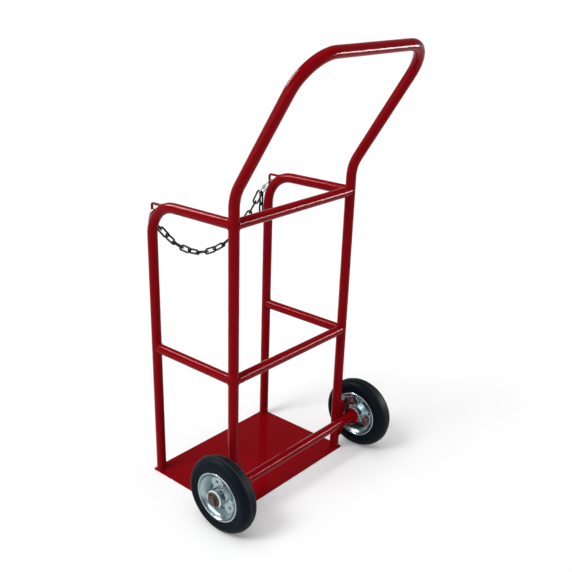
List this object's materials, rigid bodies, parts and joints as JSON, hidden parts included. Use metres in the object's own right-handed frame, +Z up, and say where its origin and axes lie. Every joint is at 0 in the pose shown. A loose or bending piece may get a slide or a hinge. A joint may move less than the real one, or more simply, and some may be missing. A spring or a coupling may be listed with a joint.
{
  "type": "gas cylinder trolley",
  "caption": "Upright two-wheeled trolley of bent round tube: flat base plate, open bay closed by a hanging chain, slanted loop handle and pressed-disc wheels on a rear axle.",
  "frame": {"origin": "on the floor, under the middle of the four posts, at the middle of the base plate's underside", "axes": "+Z is up. -Y is the open front with the chain, +Y the rear with the axle, wheels and handle. +X is the left of a person who stands behind and pushes."},
  "size_m": [0.6348, 0.4954, 1.1167],
  "materials": {
    "red_paint": "deep ruby red gloss paint over steel",
    "zinc_steel": "bright bluish zinc plate",
    "tyre_rubber": "satin black solid rubber",
    "white_nylon": "natural white nylon",
    "axle_steel": "dark bare steel",
    "black_chain": "black coated steel"
  },
  "bodies": {
    "frame": {"base_plate": "red_paint", "rear_hoop": "red_paint", "upper_cross_bar": "red_paint", "mid_cross_bar": "red_paint", "axle_tube": "red_paint", "axle_shaft": "axle_steel", "left_front_post": "red_paint", "left_mid_rail": "red_paint", "left_chain_eye": "red_paint", "left_axle_bracket": "red_paint", "left_axle_collar": "red_paint", "left_axle_washer": "axle_steel", "left_split_pin": "axle_steel", "right_front_post": "red_paint", "right_mid_rail": "red_paint", "right_chain_eye": "red_paint", "right_axle_bracket": "red_paint", "right_axle_collar": "red_paint", "right_axle_washer": "axle_steel", "right_split_pin": "axle_steel"},
    "left_wheel": {"left_tyre": "tyre_rubber", "left_outer_disc": "zinc_steel", "left_inner_disc": "zinc_steel", "left_hub_tube": "zinc_steel", "left_outer_bush": "white_nylon", "left_inner_bush": "white_nylon"},
    "right_wheel": {"right_tyre": "tyre_rubber", "right_outer_disc": "zinc_steel", "right_inner_disc": "zinc_steel", "right_hub_tube": "zinc_steel", "right_outer_bush": "white_nylon", "right_inner_bush": "white_nylon"},
    "chain": {"left_screw_link": "zinc_steel", "left_sleeve_nut": "zinc_steel", "right_screw_link": "zinc_steel", "right_sleeve_nut": "zinc_steel", "chain_link_01": "black_chain", "chain_link_02": "black_chain", "chain_link_03": "black_chain", "chain_link_04": "black_chain", "chain_link_05": "black_chain", "chain_link_06": "black_chain", "chain_link_07": "black_chain", "chain_link_08": "black_chain", "chain_link_09": "black_chain", "chain_link_10": "black_chain", "chain_link_11": "black_chain", "chain_link_12": "black_chain", "chain_link_13": "black_chain", "chain_link_14": "black_chain", "chain_link_15": "black_chain"},
    "chain_tail": {"tail_link_01": "black_chain", "tail_link_02": "black_chain"}
  },
  "joints": [
    {"name": "left_wheel_spin", "type": "hinge", "parent": "frame", "child": "left_wheel", "pos_m": [0.27695, 0.1647, 0.1], "axis": [1, 0, 0], "continuous": true},
    {"name": "right_wheel_spin", "type": "hinge", "parent": "frame", "child": "right_wheel", "pos_m": [-0.27695, 0.1647, 0.1], "axis": [1, 0, 0], "continuous": true},
    {"name": "chain_swing", "type": "hinge", "parent": "frame", "child": "chain", "pos_m": [0, -0.12577, 0.73127], "axis": [-1, 0, 0], "range_deg": [0, 50]},
    {"name": "tail_swing", "type": "hinge", "parent": "chain", "child": "chain_tail", "pos_m": [-0.20082, -0.15327, 0.69084], "axis": [-1, 0, 0], "range_deg": [0, 35]}
  ]
}
